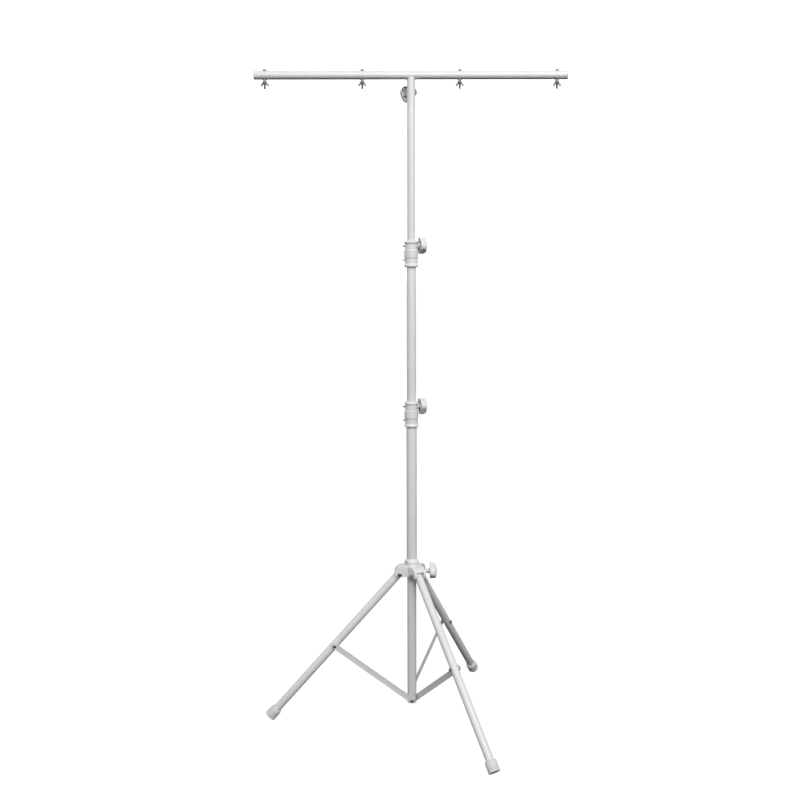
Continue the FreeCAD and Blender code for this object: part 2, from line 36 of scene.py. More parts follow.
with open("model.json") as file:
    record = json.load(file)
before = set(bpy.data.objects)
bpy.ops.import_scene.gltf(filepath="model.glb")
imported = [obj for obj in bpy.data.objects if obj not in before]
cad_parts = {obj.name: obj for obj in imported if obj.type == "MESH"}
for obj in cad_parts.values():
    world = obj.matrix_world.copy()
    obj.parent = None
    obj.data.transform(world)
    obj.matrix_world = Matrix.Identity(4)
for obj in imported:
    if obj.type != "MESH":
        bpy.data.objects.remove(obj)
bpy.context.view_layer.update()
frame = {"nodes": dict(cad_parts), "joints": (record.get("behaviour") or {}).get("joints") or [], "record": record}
record = frame["record"]
joints = {joint["name"]: joint for joint in frame["joints"]}
body_of = {node: body for body, nodes in record["behaviour"]["bodies"].items() for node in nodes}
slot_of = {part["node"]: part["material_slot"] for part in record["subparts"]}

MM = 0.001
UP = Vector((0, 0, 1))
LEGS = (1, 2, 3)
AROUND = 96                 # points round a turned shape

# ---- camera ------------------------------------------------------------------------------------
CAMERA_AZIMUTH = -1.2
CAMERA_DISTANCE = 4.2906
CAMERA_HEIGHT = 1.9163
CAMERA_PITCH = 7.81
CAMERA_YAW = 0.612
CAMERA_ROLL = -0.17
CAMERA_LENS = 49.07


def add_camera():
    """Camera a little above the middle of the mast, looking slightly down."""
    data = bpy.data.cameras.new("camera")
    data.lens = CAMERA_LENS
    data.sensor_width = 36
    data.clip_end = 200
    camera = bpy.data.objects.new("camera", data)
    azimuth = math.radians(CAMERA_AZIMUTH)
    heading = Matrix.Rotation(azimuth + math.radians(CAMERA_YAW), 4, "Z")
    tilt = Matrix.Rotation(math.radians(90 - CAMERA_PITCH), 4, "X")
    roll = Matrix.Rotation(math.radians(CAMERA_ROLL), 4, "Z")
    camera.matrix_world = heading @ tilt @ roll
    camera.location = (CAMERA_DISTANCE * math.sin(azimuth), -CAMERA_DISTANCE * math.cos(azimuth),
                       CAMERA_HEIGHT)
    bpy.context.scene.collection.objects.link(camera)
    bpy.context.scene.camera = camera


# ---- sizes that the frame doesn't give ------------------------------------------------------------
M8_RADIUS = 4.0 * MM
M8_FLATS = 13.0 * MM
M8_HEAD = 5.5 * MM
M8_NUT = 6.5 * MM
M8_PITCH = 1.25 * MM
M10_RADIUS = 5.0 * MM
M10_FLATS = 16.0 * MM
M10_HEAD = 6.4 * MM
M10_PITCH = 1.5 * MM
WASHER_RADIUS = 8.0 * MM
WASHER = 1.6 * MM
WING_NUTS = (1, 2, 3, 4)
WING_VOXEL = 0.5 * MM
WING_PASSES = 4
WING_AROUND = 24            # points round a section of a wing
WING_BOSS_TOP = 7.2 * MM
WING_BOSS_WAIST = 5.6 * MM
WING_BOSS_HEIGHT = 10 * MM
HUB_VOXEL = 0.9 * MM
HUB_PASSES = 5
RING_CONE_WIDTH = 7 * MM    # cone at the top of the ring above the hub
RING_CONE_HEIGHT = 10 * MM
BOSS_RADIUS = 10.0 * MM
COLLAR_AROUND = 180
COLLAR_WAIST = 3.3 * MM     # how far the waist is drawn in from the lips
COLLAR_BAND = 2.0 * MM      # how far the band stands out from the waist
BAND_LOW = 69 * MM          # ends of the band and middle of its groove, down from the collar's top
BAND_HIGH = 37 * MM
BAND_GROOVE = 44 * MM
LUG_MIDDLE = 53 * MM
LUG_HALF_WIDTH = 12.2 * MM
LUG_HALF_HEIGHT = 15 * MM
KNOB_JOINTS = {"hub": "hub_clamp_turn", "lower_collar": "lower_clamp_turn",
               "upper_collar": "upper_clamp_turn", "t_bar": "t_bar_clamp_turn"}
KNOB_TIP = 19.5 * MM        # radius of a lobe's round end
KNOB_OFFSET = 15.0 * MM     # centre of the round end, from the knob's axis
KNOB_TWISTS = {"hub": 30.0, "lower_collar": 12.0, "upper_collar": 30.0, "t_bar": 9.0}
KNOB_HEAD = 28.0 * MM
KNOB_ROOF = 9.0 * MM
KNOB_SHELL = 3.0 * MM
KNOB_STEM = 8.5 * MM
KNOB_AROUND = 180
KNOB_BLEND = 0.7 * MM       # rounding between the lobed side and the domed crown
KNOB_CAP = 9.0 * MM         # radius of the cap in the middle of the crown
KNOB_SIDE = (34.9, 4.0)     # radius and height, in millimetres, of the curve that the head is drawn in to
KNOB_MIDDLE = (33.2, 15.5)
KNOB_SHOULDER = (28.2, 23.3)
KNOB_CROWN = (14.5, 26.7)
KNOB_PEAK = (0.0, 27.9)
RIB_HALF = 1.2 * MM
RIB_DROP = 2.0 * MM
HOLLOW_RINGS = 10
CAP_PLUG = 15 * MM          # how far an end cap reaches into the bar
STUB_AROUND = 144
WELD_SECTION = 12
WELD_RADIUS = 1.7 * MM
WELD_RIPPLES = 34


# ---- measuring the CAD nodes ---------------------------------------------------------------------

def corners(node):
    """The points of a CAD node's mesh."""
    mesh = frame["nodes"][node].data
    flat = np.zeros(len(mesh.vertices) * 3)
    mesh.vertices.foreach_get("co", flat)
    return flat.reshape(-1, 3)


def span(node, origin=(0, 0, 0), axis=(0, 0, 1), within=1.0):
    """Where a CAD node starts and ends along an axis, and its least and greatest distance from it."""
    axis = np.array(Vector(axis).normalized())
    points = corners(node) - np.array(origin)
    along = points @ axis
    off = np.linalg.norm(points - np.outer(along, axis), axis=1)
    near = off < within
    return along[near].min(), along[near].max(), off[near].min(), off[near].max()


def place(origin, axis, side=None):
    """Matrix that puts local Z along an axis and local X as near as possible to side."""
    z = Vector(axis).normalized()
    if side is None:
        side = (1, 0, 0) if abs(z.x) < 0.9 else (0, 1, 0)
    side = Vector(side)
    x = (side - z * side.dot(z)).normalized()
    y = z.cross(x)
    matrix = Matrix((x, y, z)).transposed().to_4x4()
    matrix.translation = Vector(origin)
    return matrix


def pivot(name):
    """A joint's place and axis."""
    return Vector(joints[name]["pos_m"]), Vector(joints[name]["axis"])


# ---- solids: (points, faces) ---------------------------------------------------------------------

def ring(radius, height, around=AROUND):
    """Points round local Z. Radius and height are numbers or functions of the angle."""
    points = []
    for step in range(around):
        angle = 2 * math.pi * step / around
        r = radius(angle) if callable(radius) else radius
        h = height(angle) if callable(height) else height
        points.append((r * math.cos(angle), r * math.sin(angle), h))
    return points


def loft(rings, matrix=None, closed=False):
    """Skin through rings of points. Its ends are capped unless it closes on itself."""
    around = len(rings[0])
    count = len(rings)
    points = np.array(rings).reshape(-1, 3)
    faces = []
    for row in range(count if closed else count - 1):
        here = row * around
        there = (row + 1) % count * around
        for step in range(around):
            after = (step + 1) % around
            faces.append((here + step, here + after, there + after, there + step))
    if not closed:
        faces.append(tuple(range(around - 1, -1, -1)))
        faces.append(tuple(range((count - 1) * around, count * around)))
    return moved((points, faces), matrix)


def moved(solid, matrix):
    """A solid put in place by a matrix."""
    if matrix is None:
        return solid
    grid = np.array(matrix)
    return solid[0] @ grid[:3, :3].T + grid[:3, 3], solid[1]


def softened(outline, closed=False, steps=5):
    """Round the corners of an outline of (radius, height, rounding)."""
    soft = []
    count = len(outline)
    for index, (radius, height, rounding) in enumerate(outline):
        corner = np.array((radius, height))
        at_end = not closed and index in (0, count - 1)
        if rounding == 0 or at_end:
            soft.append(tuple(corner))
            continue
        before = np.array(outline[index - 1][:2]) - corner
        after = np.array(outline[(index + 1) % count][:2]) - corner
        reach = [min(rounding, 0.48 * np.linalg.norm(edge)) for edge in (before, after)]
        start = corner + before / np.linalg.norm(before) * reach[0]
        end = corner + after / np.linalg.norm(after) * reach[1]
        for step in range(steps + 1):
            t = step / steps
            soft.append(tuple((1 - t) ** 2 * start + 2 * t * (1 - t) * corner + t * t * end))
    return soft


def divided(outline, longest):
    """Cut the long runs of an outline into shorter ones."""
    fine = [outline[0]]
    for start, end in zip(outline, outline[1:]):
        pieces = max(1, math.ceil(math.dist(start, end) / longest))
        for step in range(1, pieces + 1):
            t = step / pieces
            fine.append((start[0] + (end[0] - start[0]) * t, start[1] + (end[1] - start[1]) * t))
    return fine


def turned(outline, matrix=None, closed=False, around=AROUND):
    """Solid of revolution from an outline of (radius, height, rounding)."""
    return loft([ring(r, h, around) for r, h in softened(outline, closed)], matrix, closed)


def sleeve(inner, outer, start, end, matrix=None, lip=0.4 * MM):
    """Tube with softened rims."""
    outline = [(outer, start, lip), (outer, end, lip), (inner, end, lip), (inner, start, lip)]
    return turned(outline, matrix, closed=True)


def smooth_step(value, start, end):
    """0 before start, 1 after end, smooth between."""
    t = min(1.0, max(0.0, (value - start) / (end - start)))
    return t * t * (3 - 2 * t)


def cast(solid, voxel, passes):
    """One continuous skin over a solid, with its edges and inner corners rounded as on a casting."""
    mesh = bpy.data.meshes.new("cast")
    mesh.from_pydata([tuple(point) for point in solid[0]], [], solid[1])
    work = bmesh.new()
    work.from_mesh(mesh)
    bmesh.ops.remove_doubles(work, verts=work.verts, dist=0.01 * MM)
    bmesh.ops.recalc_face_normals(work, faces=work.faces)
    work.to_mesh(mesh)
    work.free()
    shape = bpy.data.objects.new("cast", mesh)
    bpy.context.scene.collection.objects.link(shape)
    remesh = shape.modifiers.new("skin", "REMESH")
    remesh.mode = "VOXEL"
    remesh.voxel_size = voxel
    smooth = shape.modifiers.new("smooth", "SMOOTH")
    smooth.factor = 0.5
    smooth.iterations = passes
    skin = bpy.data.meshes.new_from_object(shape.evaluated_get(bpy.context.evaluated_depsgraph_get()))
    points = np.array([vertex.co for vertex in skin.vertices])
    faces = [tuple(polygon.vertices) for polygon in skin.polygons]
    bpy.data.objects.remove(shape)
    bpy.data.meshes.remove(mesh)
    bpy.data.meshes.remove(skin)
    return points, faces


def joined(solids):
    """Several solids as one."""
    points = []
    faces = []
    for solid_points, solid_faces in solids:
        first = len(points)
        points.extend(tuple(point) for point in solid_points)
        faces.extend(tuple(index + first for index in face) for face in solid_faces)
    return points, faces


def piece(nodes, solids, sharp=35):
    """One visible piece that stands for CAD nodes of one body."""
    nodes = [nodes] if isinstance(nodes, str) else nodes
    points, faces = joined(solids)
    mesh = bpy.data.meshes.new(nodes[0] + "_form")
    mesh.from_pydata(points, [], faces)
    work = bmesh.new()
    work.from_mesh(mesh)
    bmesh.ops.recalc_face_normals(work, faces=work.faces)
    work.to_mesh(mesh)
    work.free()
    mesh.shade_smooth()
    mesh.set_sharp_from_angle(angle=math.radians(sharp))
    shape = bpy.data.objects.new(nodes[0] + "_form", mesh)
    bpy.context.scene.collection.objects.link(shape)
    mesh.materials.append(finishes[slot_of[nodes[0]]])
    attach(shape, body_of[nodes[0]])
    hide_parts(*nodes)
    return shape


# ---- fasteners -----------------------------------------------------------------------------------
CHAMFER_SLOPE = math.tan(math.radians(60))
THREAD_STEPS = 8            # rings in one turn of thread
CROWN = 1.3 * MM            # height of the domed end of a bolt's head


def hexagon(flats):
    """Radius of a hexagon by angle."""
    def radius(angle):
        return flats / 2 / math.cos((angle + math.pi / 6) % (math.pi / 3) - math.pi / 6)
    return radius


def chamfered(flats, depth):
    """Radius of a hexagon whose corners are turned off, at a depth below its face."""
    outline = hexagon(flats)
    limit = flats * 0.47 + depth * CHAMFER_SLOPE
    return lambda angle: min(outline(angle), limit)


def hex_side(flats, start, end):
    """Rings of a hexagonal side from one height to another, chamfered at the end height."""
    height = abs(end - start)
    way = 1 if end > start else -1
    depths = (height, height * 0.45, flats * 0.07, flats * 0.045, flats * 0.02, 0)
    return [ring(chamfered(flats, depth), end - way * depth) for depth in depths]


def thread(radius, pitch, start, end):
    """Rings of a screw thread between two heights."""
    depth = 0.55 * pitch
    rings = []
    for index in range(int((end - start) / pitch * THREAD_STEPS) + 1):
        height = start + index * pitch / THREAD_STEPS
        fade = smooth_step(end - height, 0, pitch)

        def groove(angle):
            turn = (height / pitch - angle / (2 * math.pi)) % 1.0
            return radius - depth * fade * (1 - abs(2 * turn - 1)) - depth * 0.05
        rings.append(ring(groove, height))
    return rings


def crown(flats, top):
    """Rings of the slightly domed end of a bolt's head."""
    reach = flats * 0.44
    return [ring(reach * share, top - CROWN * share ** 2) for share in (1.0, 0.85, 0.65, 0.4, 0.15)]


def hex_bolt(matrix, length, radius, flats, head, threaded, pitch):
    """Hex bolt from its tip at local zero to the top of its head."""
    base = length - head
    tip = pitch * 0.8
    rings = [ring(radius * 0.4, 0), ring(radius * 0.78, 0)]
    rings += thread(radius, pitch, tip, threaded)
    rings += [ring(radius, threaded + pitch * 0.3), ring(radius, base - 0.2 * MM)]
    rings += [ring(flats * 0.47, base), ring(flats * 0.47, base + 0.3 * MM)]
    rings += hex_side(flats, base + 0.31 * MM, length - CROWN)
    rings += crown(flats, length)
    return loft(rings, matrix)


def hex_nut(matrix, start, height, radius, flats):
    """Hex nut, chamfered on both faces."""
    middle = start + height / 2
    rings = [ring(radius, start + 0.5 * MM), ring(radius * 1.12, start)]
    rings += hex_side(flats, middle - 0.01 * MM, start)[::-1]
    rings += hex_side(flats, middle + 0.01 * MM, start + height)
    rings += [ring(radius * 1.12, start + height), ring(radius, start + height - 0.5 * MM)]
    return loft(rings, matrix, closed=True)


def socket_screw(matrix, start, end, radius, socket):
    """Headless set screw with a hexagon socket in its end face."""
    rings = [ring(radius * 0.9, start), ring(radius, start + 0.4 * MM)]
    rings += [ring(radius, end - 0.8 * MM), ring(radius * 0.94, end - 0.3 * MM), ring(radius * 0.8, end)]
    rings += [ring(hexagon(socket), end), ring(hexagon(socket), end - 1.6 * MM)]
    return loft(rings, matrix)


# ---- tubes ----------------------------------------------------------------------------------------

def upright_tubes():
    """Mast tubes and centre strut."""
    for node in ("main_tube", "mid_tube", "top_tube", "centre_strut"):
        start, end, inner, outer = span(node)
        piece(node, [sleeve(inner, outer, start, end)])


def leg_line(number):
    """Hinge point, direction down the leg, and the direction of the hinge axis."""
    hinge, side = pivot("leg_%d_fold" % number)
    knee, _ = pivot("strap_%d_pivot" % number)
    return hinge, (knee - hinge).normalized(), side


def leg_tubes():
    """The three leg tubes."""
    for number in LEGS:
        hinge, along, side = leg_line(number)
        node = "leg_tube_%d" % number
        start, end, _, outer = span(node, hinge, along)
        inner = span(node, hinge, along, within=outer - 1.0 * MM)[3]
        piece(node, [sleeve(inner, outer, start, end, place(hinge, along, side))])


# ---- feet -----------------------------------------------------------------------------------------

def feet():
    """Moulded foot caps, each cut flat where it meets the floor."""
    for number in LEGS:
        hinge, along, side = leg_line(number)
        node = "foot_cap_%d" % number
        start, end, _, outer = span(node, hinge, along)
        bore = span("leg_tube_%d" % number, hinge, along)[3]
        collar = outer - 1.6 * MM
        groove = 1.1 * MM
        outline = [(bore, start + 1.5 * MM, 0.5 * MM), (bore + 1.2 * MM, start, 0.8 * MM),
                   (collar - 1.5 * MM, start + 1.2 * MM, 1.2 * MM), (collar, start + 4 * MM, 2.0 * MM),
                   (outer - 0.3 * MM, start + 11 * MM, 3.0 * MM)]
        for band in (0, 1):
            low = end - (13 - 4.2 * band) * MM
            outline += [(outer, low - 1.2 * MM, 0.5 * MM), (outer - groove, low - 0.3 * MM, 0.5 * MM),
                        (outer - groove, low + 0.5 * MM, 0.5 * MM), (outer, low + 1.4 * MM, 0.5 * MM)]
        outline += [(outer, end - 0.6 * MM, 0.5 * MM), (outer - 0.8 * MM, end, 0.5 * MM),
                    (outer * 0.6, end, 0.5 * MM), (outer * 0.55, end - 0.8 * MM, 0.4 * MM),
                    (0.1 * MM, end - 0.8 * MM, 0)]
        inside = [(0.1 * MM, end - 5.5 * MM, 0), (bore, end - 5.5 * MM, 0.3 * MM)]
        profile = softened(outline) + softened(inside)
        matrix = place(hinge, along, side)
        points, faces = loft([ring(r, h) for r, h in profile], matrix, closed=True)
        points[:, 2] = np.maximum(points[:, 2], 0.0)
        piece(node, [(points, faces)])


# ---- straps ---------------------------------------------------------------------------------------
STRAP_STEPS = 24            # points round each end of a strap


def strap_blade(length, half, thickness, matrix):
    """Flat bar with round ends, lying along local X, dished a little on both faces."""
    def stadium(inset, height):
        points = []
        for centre, turn in ((length, -90), (0, 90)):
            for step in range(STRAP_STEPS + 1):
                angle = math.radians(turn + 180 * step / STRAP_STEPS)
                r = half - inset
                points.append((centre + r * math.cos(angle), r * math.sin(angle), height))
        return points
    edge = 0.6 * MM
    dish = 0.5 * MM
    face = [(half * 0.6, dish), (half * 0.45, dish), (half * 0.32, 0), (edge, 0), (edge * 0.3, edge * 0.3)]
    rings = [stadium(inset, depth) for inset, depth in face] + [stadium(0, edge)]
    rings.append(stadium(0, thickness - edge))
    rings += [stadium(inset, thickness - depth) for inset, depth in face[::-1]]
    return loft(rings, matrix)


def straps():
    """Three flat brace straps, from their pivots on the legs to the foot of the strut."""
    for number in LEGS:
        node = "brace_strap_%d" % number
        knee, side = pivot("strap_%d_pivot" % number)
        near, far, _, _ = span(node, knee, side)
        lowest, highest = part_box(node)
        half = highest.z - knee.z
        foot = Vector((0, 0, lowest.z + half))
        along = foot - knee
        matrix = place(knee + side * near, side, along)
        piece(node, [strap_blade(along.length, half, far - near, matrix)])


def strap_fittings():
    """Spacer, leg bolt and strut bolt of each strap."""
    for number in LEGS:
        knee, side = pivot("strap_%d_pivot" % number)
        node = "brace_spacer_%d" % number
        _, end, inner, outer = span(node, knee, side)
        leg_radius = span("leg_tube_%d" % number, *leg_line(number)[:2])[3]
        start = math.sqrt(leg_radius ** 2 - outer ** 2)
        outline = [(inner, start, 0), (outer, start, 0.3 * MM), (outer, end, 0.6 * MM),
                   (inner, end, 0.3 * MM)]
        piece(node, [turned(outline, place(knee, side), closed=True)])

        node = "brace_leg_bolt_%d" % number
        tip, top, _, _ = span(node, knee, side)
        nut_face = -leg_radius
        matrix = place(knee + side * tip, side)
        length = top - tip
        bolt = hex_bolt(matrix, length, M8_RADIUS, M8_FLATS, M8_HEAD, nut_face - tip, M8_PITCH)
        nut = hex_nut(matrix, nut_face - tip - M8_NUT, M8_NUT, M8_RADIUS, M8_FLATS)
        piece(node, [bolt, nut])

        node = "brace_strut_bolt_%d" % number
        foot = Vector((0, 0, sum(corner.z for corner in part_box(node)) / 2))
        tip, top, _, _ = span(node, foot, side)
        matrix = place(foot + side * tip, side)
        piece(node, [shoulder_bolt(matrix, top - tip, M8_RADIUS, M8_FLATS, M8_HEAD)])


def shoulder_bolt(matrix, length, radius, flats, head):
    """Bolt with a smooth shank and a flanged hexagon head."""
    base = length - head
    rings = [ring(radius * 0.9, 0), ring(radius, 0.3 * MM), ring(radius, base - 0.1 * MM)]
    rings += [ring(flats * 0.49, base), ring(flats * 0.49, base + 0.8 * MM)]
    rings += hex_side(flats * 0.97, base + 1.0 * MM, length - CROWN)
    rings += crown(flats, length)
    return loft(rings, matrix)


# ---- hub -------------------------------------------------------------------------------------------

def hub():
    """Cast hub with three hinge arms."""
    mesh = frame["nodes"]["hub_casting"].data
    solid = (corners("hub_casting"), [tuple(polygon.vertices) for polygon in mesh.polygons])
    piece("hub_casting", [cast(solid, HUB_VOXEL, HUB_PASSES)], sharp=60)


def hub_ring():
    """Clamp ring above the hub, with its set screw."""
    start, end, inner, outer = span("hub_top_ring", within=0.05)
    outline = [(outer, start, 0.8 * MM), (outer, end - RING_CONE_HEIGHT, 1.6 * MM),
               (outer - RING_CONE_WIDTH, end, 1.0 * MM), (inner, end, 0.6 * MM), (inner, start, 0.4 * MM)]
    piece("hub_top_ring", [turned(outline, closed=True)])
    lowest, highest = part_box("hub_ring_screw")
    middle = (lowest + highest) / 2
    axis = Vector((middle.x, middle.y, 0)).normalized()
    origin = Vector((0, 0, middle.z))
    start, end, _, radius = span("hub_ring_screw", origin, axis)
    matrix = place(origin, axis)
    piece("hub_ring_screw", [socket_screw(matrix, start, end, radius, radius)])


def hinge_bolts():
    """Hinge bolts and nuts of the three legs."""
    bolts = []
    nuts = []
    for number in LEGS:
        hinge, side = pivot("leg_%d_fold" % number)
        tip, top, _, _ = span("leg_hinge_bolts", hinge, side, within=0.02)
        start, face, _, _ = span("leg_hinge_nuts", hinge, side, within=0.02)
        matrix = place(hinge + side * tip, side)
        bolts.append(hex_bolt(matrix, top - tip, M10_RADIUS, M10_FLATS, M10_HEAD, face - tip, M10_PITCH))
        nuts.append(hex_nut(matrix, start - tip, face - start, M10_RADIUS, M10_FLATS))
    piece("leg_hinge_bolts", bolts)
    piece("leg_hinge_nuts", nuts)


# ---- clamp collars ---------------------------------------------------------------------------------

def collar(name):
    """Cast clamp collar: lips at both ends, a raised band with a lug, and the boss of the clamp stud."""
    node = name + "_collar_body"
    lowest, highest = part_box(node)
    bottom = lowest.z
    top = highest.z
    lip = highest.y
    waist = lip - COLLAR_WAIST
    band = waist + COLLAR_BAND
    groove = top - BAND_GROOVE
    lug = -lowest.x
    knob, axis = pivot(name + "_clamp_turn")
    azimuth = math.atan2(axis.y, axis.x)
    reach = span(node, (0, 0, knob.z), axis, within=BOSS_RADIUS + 1 * MM)[1]
    tube = span(name + "_collar_bush")[3]
    mouth = span(node)[2]
    outline = [(tube, bottom, 0.6 * MM), (lip - 2.5 * MM, bottom, 2 * MM), (lip, bottom + 3 * MM, 3 * MM),
               (lip, bottom + 8 * MM, 3 * MM), (waist, bottom + 13 * MM, 3 * MM),
               (waist, top - BAND_LOW, 1.2 * MM), (band, top - BAND_LOW + 2 * MM, 1.0 * MM),
               (band, groove - 1.0 * MM, 0.5 * MM), (band - 0.8 * MM, groove - 0.3 * MM, 0.4 * MM),
               (band - 0.8 * MM, groove + 0.3 * MM, 0.4 * MM), (band, groove + 1.0 * MM, 0.5 * MM),
               (band, top - BAND_HIGH - 2 * MM, 1.0 * MM), (waist, top - BAND_HIGH, 1.2 * MM),
               (waist, top - 13 * MM, 1.5 * MM), (lip, top - 9.5 * MM, 1.2 * MM),
               (lip, top - 5 * MM, 1.2 * MM), (mouth + 2.2 * MM, top, 1.2 * MM), (mouth, top, 0.5 * MM)]
    lug_middle = top - LUG_MIDDLE

    def swell(radius, height):
        def grown(angle):
            across = lip * math.sin(angle - math.pi)
            beside = math.cos(angle - math.pi) > 0
            on_lug = smooth_step(LUG_HALF_WIDTH - abs(across), 0, 2.4 * MM) if beside else 0
            on_lug *= smooth_step(LUG_HALF_HEIGHT - abs(height - lug_middle), 0, 2.2 * MM)
            grown_radius = radius + max(0, lug - radius) * on_lug
            turn = (angle - azimuth + math.pi) % (2 * math.pi) - math.pi
            if abs(turn) > math.pi / 3:
                return grown_radius
            away = math.hypot(waist * math.tan(turn), height - knob.z)
            on_boss = smooth_step(BOSS_RADIUS + 1 * MM - away, 0, 2.2 * MM)
            return grown_radius + max(0, reach / math.cos(turn) - grown_radius) * on_boss
        return grown
    outside = divided(softened(outline), 1.2 * MM)
    rings = [ring(swell(r, h), h, COLLAR_AROUND) for r, h in outside]
    inside = softened([(mouth, top - 2 * MM, 0), (mouth, top - 4 * MM, 0.2 * MM),
                       (tube, top - 4 * MM, 0.2 * MM), (tube, bottom + 2 * MM, 0)])
    rings += [ring(r, h, COLLAR_AROUND) for r, h in inside]
    piece(node, [loft(rings, closed=True)], sharp=50)


def collar_screws(name):
    """The two set screws of a collar."""
    node = name + "_collar_screws"
    points = corners(node)
    middle = (points[:, 2].min() + points[:, 2].max()) / 2
    screws = []
    for half in (points[points[:, 2] > middle], points[points[:, 2] < middle]):
        height = (half[:, 2].min() + half[:, 2].max()) / 2
        radius = (half[:, 2].max() - half[:, 2].min()) / 2
        matrix = place((0, 0, height), (-1, 0, 0))
        screws.append(socket_screw(matrix, -half[:, 0].max(), -half[:, 0].min(), radius, radius))
    piece(node, screws)


# ---- clamp knobs -----------------------------------------------------------------------------------

def lobed(inset):
    """Radius by angle of the three-lobed knob, drawn in by an inset."""
    tip = KNOB_TIP - inset
    tangent = math.atan2(tip * math.sin(math.pi / 3), KNOB_OFFSET + tip * math.cos(math.pi / 3))

    def radius(angle):
        swing = abs((angle + math.pi / 3) % (2 * math.pi / 3) - math.pi / 3)
        if swing > tangent:
            return (KNOB_OFFSET / 2 + tip) / math.cos(math.pi / 3 - swing)
        return KNOB_OFFSET * math.cos(swing) + math.sqrt(tip ** 2 - (KNOB_OFFSET * math.sin(swing)) ** 2)
    return radius


def arc(start, middle, end, steps):
    """Points on the circle through three points, in millimetres, from the first to the last."""
    (ax, ay), (bx, by), (cx, cy) = start, middle, end
    cross = 2 * (ax * (by - cy) + bx * (cy - ay) + cx * (ay - by))
    squares = [x * x + y * y for x, y in (start, middle, end)]
    x = (squares[0] * (by - cy) + squares[1] * (cy - ay) + squares[2] * (ay - by)) / cross
    y = (squares[0] * (cx - bx) + squares[1] * (ax - cx) + squares[2] * (bx - ax)) / cross
    radius = math.dist((x, y), start)
    first = math.atan2(ay - y, ax - x)
    turn = (math.atan2(cy - y, cx - x) - first + math.pi) % (2 * math.pi) - math.pi
    angles = [first + turn * step / steps for step in range(steps + 1)]
    return [(x + radius * math.cos(angle), y + radius * math.sin(angle)) for angle in angles]


def either(first, second):
    """The smaller of two radii, with a soft change from one to the other."""
    low = min(first, second)
    weight = math.exp((low - first) / KNOB_BLEND) + math.exp((low - second) / KNOB_BLEND)
    return low - KNOB_BLEND * math.log(weight)


def knob(name):
    """Moulded knob: ribbed hollow underside, domed outer face, conical stem."""
    node = name + "_knob"
    origin, axis = pivot(KNOB_JOINTS[name])
    origin = Vector((0, 0, origin.z))
    start, end, _, _ = span(node, origin, axis)
    matrix = place(origin, axis, -UP) @ Matrix.Rotation(math.radians(KNOB_TWISTS[name]), 4, "Z")
    rim = end - KNOB_HEAD
    stem = KNOB_STEM
    dome = arc(KNOB_SIDE, KNOB_MIDDLE, KNOB_SHOULDER, 8) + arc(KNOB_SHOULDER, KNOB_CROWN, KNOB_PEAK, 12)[1:]
    dome_radii = [radius * MM for radius, _ in reversed(dome)]
    dome_heights = [height * MM for _, height in reversed(dome)]

    def rib(radius, angle):
        """How far a rib stands down from the roof of the hollow."""
        turn = (angle + math.pi / 6) % (math.pi / 3) - math.pi / 6
        return smooth_step(RIB_HALF + 0.6 * MM - abs(radius * math.sin(turn)), 0, 1.0 * MM)

    def roof(radius_at):
        def height(angle):
            radius = radius_at(angle)
            depth = float(np.interp(radius, dome_radii, dome_heights)) - KNOB_ROOF
            return rim + depth - (depth - RIB_DROP) * rib(radius, angle)
        return height

    rings = [ring(stem * 0.5, start, KNOB_AROUND), ring(stem - 1.0 * MM, start, KNOB_AROUND),
             ring(stem - 0.3 * MM, start + 0.3 * MM, KNOB_AROUND), ring(stem, start + 1.0 * MM, KNOB_AROUND)]
    flare = 3.0 * MM
    mouth = rim + 2.0 * MM
    for step in range(9):
        t = step / 8
        rise = start + (mouth - start) * t + 1.0 * MM * (1 - t)
        rings.append(ring(stem + flare * t ** 3, rise, KNOB_AROUND))
    inner = lobed(KNOB_SHELL + 0.6 * MM)
    wide = stem + flare + 0.5 * MM
    rings.append(ring(wide - 0.3 * MM, roof(lambda angle: wide), KNOB_AROUND))
    for step in range(1, HOLLOW_RINGS + 1):
        t = step / HOLLOW_RINGS

        def floor_radius(angle, t=t):
            return wide + (inner(angle) - wide) * t
        rings.append(ring(floor_radius, roof(floor_radius), KNOB_AROUND))
    edge = lobed(KNOB_SHELL)
    for t in (0.15, 0.5, 0.85):
        def wall_radius(angle, t=t):
            return inner(angle) + (edge(angle) - inner(angle)) * t

        def wall_height(angle, t=t):
            high = roof(inner)(angle)
            return high + (rim + 0.6 * MM - high) * t
        rings.append(ring(wall_radius, wall_height, KNOB_AROUND))
    for inset, rise in ((KNOB_SHELL - 0.2 * MM, 0.2 * MM), (KNOB_SHELL - 0.8 * MM, 0), (1.0 * MM, 0),
                        (0.4 * MM, 0.2 * MM), (0.1 * MM, 0.9 * MM)):
        rings.append(ring(lobed(inset), rim + rise, KNOB_AROUND))
    outline = divided([(radius * MM, height * MM) for radius, height in [(36.5, 1.5)] + dome[:-1]], 1.3 * MM)
    side = lobed(0)
    for radius, height in outline:
        groove = 0.5 * MM if abs(radius - KNOB_CAP) < 0.8 * MM else 0
        rings.append(ring(lambda angle: either(side(angle), radius), rim + height - groove, KNOB_AROUND))
    piece(node, [loft(rings, matrix)], sharp=50)


# ---- T-bar -----------------------------------------------------------------------------------------

def bar_line():
    """Centre and radius of the T-bar."""
    lowest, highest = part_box("t_bar_tube")
    return (lowest + highest) / 2, (highest.z - lowest.z) / 2


